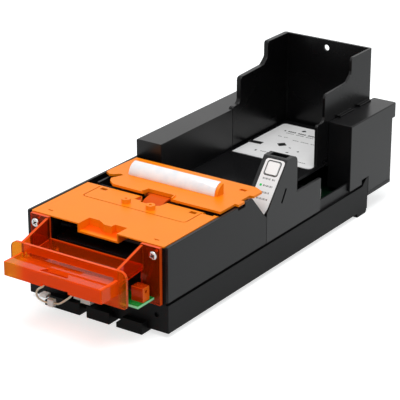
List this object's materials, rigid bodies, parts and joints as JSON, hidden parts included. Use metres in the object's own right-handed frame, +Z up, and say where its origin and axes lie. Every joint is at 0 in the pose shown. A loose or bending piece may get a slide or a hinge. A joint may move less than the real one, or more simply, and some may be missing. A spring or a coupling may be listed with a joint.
{
  "type": "ticket printer",
  "caption": "Kiosk ticket printer on a long tray, with two orange hinged covers, a stepped hopper for folded tickets, a control tower and a clear orange exit bezel.",
  "frame": {"origin": "on the surface the feet stand on, on the centre line, under the front face of the chassis", "axes": "+Z up, +Y towards the rear where the tickets are loaded, +X to the right seen from the front"},
  "size_m": [0.11, 0.3315, 0.112],
  "materials": {
    "black_abs": "satin moulded plastic",
    "black_key": "fine matt plastic",
    "orange_abs": "smooth bright orange plastic",
    "clear_orange": "clear tinted plastic, glossy",
    "zinc_steel": "zinc plated sheet",
    "chrome_screw": "bright plated",
    "black_steel": "black e-coated sheet",
    "aluminium": "mill finish",
    "ceramic": "glazed ceramic strip",
    "dark_rubber": "ground rubber",
    "white_strip": "smooth white plastic strip",
    "white_acetal": "natural acetal",
    "brass": "turned",
    "green_board": "solder mask",
    "green_lens": "clear tinted lens",
    "white_label": "printed film label",
    "beige_lead": "insulated wire"
  },
  "bodies": {
    "chassis": {"base_tray": "black_abs", "bezel": "clear_orange", "bezel_board": "green_board", "bezel_lamps": "green_lens", "bezel_screws": "chrome_screw", "board_chips": "black_key", "chassis_pan": "black_steel", "data_connector": "zinc_steel", "drive_motor": "zinc_steel", "floor_label": "white_label", "front_connectors": "white_acetal", "front_panel": "black_abs", "gap_connector": "white_acetal", "harness_board": "green_board", "hinge_bracket": "black_steel", "hopper": "black_abs", "idler_stud": "zinc_steel", "latch_bar": "black_steel", "lead_left": "beige_lead", "lead_plug": "white_acetal", "lead_right": "beige_lead", "lead_sockets": "white_acetal", "left_rail_cover": "black_abs", "left_side_frame": "black_steel", "left_side_plate": "black_abs", "main_board": "green_board", "platen_bushings": "black_key", "power_connector": "black_key", "rear_box_cover": "black_abs", "rear_hinge_pins": "zinc_steel", "rear_panel": "black_abs", "right_side_frame": "black_steel", "right_side_plate": "black_abs", "sensor_hood": "orange_abs", "status_lamp": "green_lens", "switch_board": "green_board", "tact_switch": "black_key", "ticket_guide": "black_abs", "ticket_sensor": "black_key", "tower_housing": "black_abs", "tower_label": "white_label", "tray_bed": "black_abs"},
    "front_cover": {"front_cover": "orange_abs", "front_hinge_pins": "zinc_steel", "head_springs": "zinc_steel"},
    "print_head": {"thermal_head": "ceramic", "head_heat_sink": "aluminium"},
    "rear_cover": {"rear_cover": "orange_abs", "cover_strip": "white_strip", "latch_pin": "zinc_steel"},
    "cover_latch": {"cover_latch": "orange_abs"},
    "platen": {"platen_roller": "dark_rubber", "platen_shaft": "zinc_steel", "platen_gear": "white_acetal"},
    "idler": {"idler_gear": "white_acetal"},
    "motor_rotor": {"motor_shaft": "zinc_steel", "motor_pinion": "brass"},
    "feed_button": {"feed_button": "white_label"}
  },
  "joints": [
    {"name": "front_cover_hinge", "type": "hinge", "parent": "chassis", "child": "front_cover", "pos_m": [0, 0.0582, 0.0578], "axis": [-1, 0, 0], "range_deg": [0, 65]},
    {"name": "print_head_travel", "type": "slide", "parent": "front_cover", "child": "print_head", "axis": [0, 0, 1], "range_m": [0, 0.0008], "stiffness_N_per_m": 1500, "springref_m": -0.001, "deforming": ["head_springs"]},
    {"name": "rear_cover_hinge", "type": "hinge", "parent": "chassis", "child": "rear_cover", "pos_m": [0, 0.106, 0.0578], "axis": [-1, 0, 0], "range_deg": [0, 70]},
    {"name": "cover_latch_press", "type": "hinge", "parent": "rear_cover", "child": "cover_latch", "pos_m": [0, 0.0674, 0.0595], "axis": [1, 0, 0], "range_deg": [0, 12], "stiffness_Nm_per_rad": 0.05, "springref_deg": -5.73},
    {"name": "platen_spin", "type": "hinge", "parent": "chassis", "child": "platen", "pos_m": [0, 0.026, 0.04345], "axis": [1, 0, 0], "continuous": true},
    {"name": "idler_spin", "type": "hinge", "parent": "chassis", "child": "idler", "pos_m": [0, 0.04616, 0.03044], "axis": [1, 0, 0], "continuous": true},
    {"name": "motor_spin", "type": "hinge", "parent": "chassis", "child": "motor_rotor", "pos_m": [0, 0.066, 0.033], "axis": [1, 0, 0], "continuous": true},
    {"name": "feed_button_press", "type": "slide", "parent": "chassis", "child": "feed_button", "axis": [0, 0.766, -0.6428], "range_m": [0, 0.0008], "stiffness_N_per_m": 900, "springref_m": -0.0006}
  ],
  "couplings": [
    {"joint": "idler_spin", "follows": "platen_spin", "ratio": -0.71429},
    {"joint": "motor_spin", "follows": "platen_spin", "ratio": 1.6667}
  ]
}
